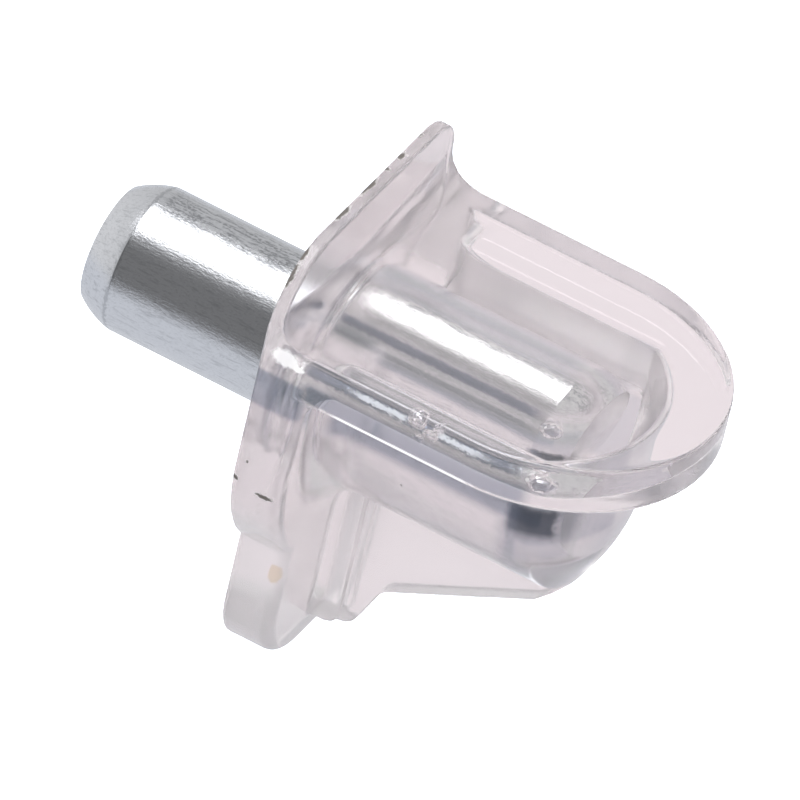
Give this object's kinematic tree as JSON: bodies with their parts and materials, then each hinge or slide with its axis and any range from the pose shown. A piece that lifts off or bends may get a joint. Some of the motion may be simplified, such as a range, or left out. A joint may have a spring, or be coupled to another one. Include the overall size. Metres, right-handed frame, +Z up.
{
  "type": "shelf support pin",
  "caption": "Shelf support: a plated steel pin for a 5 mm side hole, held in a clear moulded rest with a back plate, a flat round-nosed top, a bowed boss round the pin and a keel below.",
  "frame": {"origin": "on the pin's axis, in the rear face of the moulding that bears on the cabinet side", "axes": "+Y along the pin towards its free end, -Y towards the nose of the rest, +Z up, +X to the right when looking from the nose towards the cabinet side"},
  "size_m": [0.0112, 0.021, 0.0171],
  "materials": {
    "plated_steel": "zinc plated, drawn along the pin with fine streaks and specks",
    "clear_plastic": "clear moulded plastic, glossy, with a faint warm tint"
  },
  "bodies": {
    "root": {"steel_pin": "plated_steel", "clear_body": "clear_plastic"}
  },
  "joints": []
}
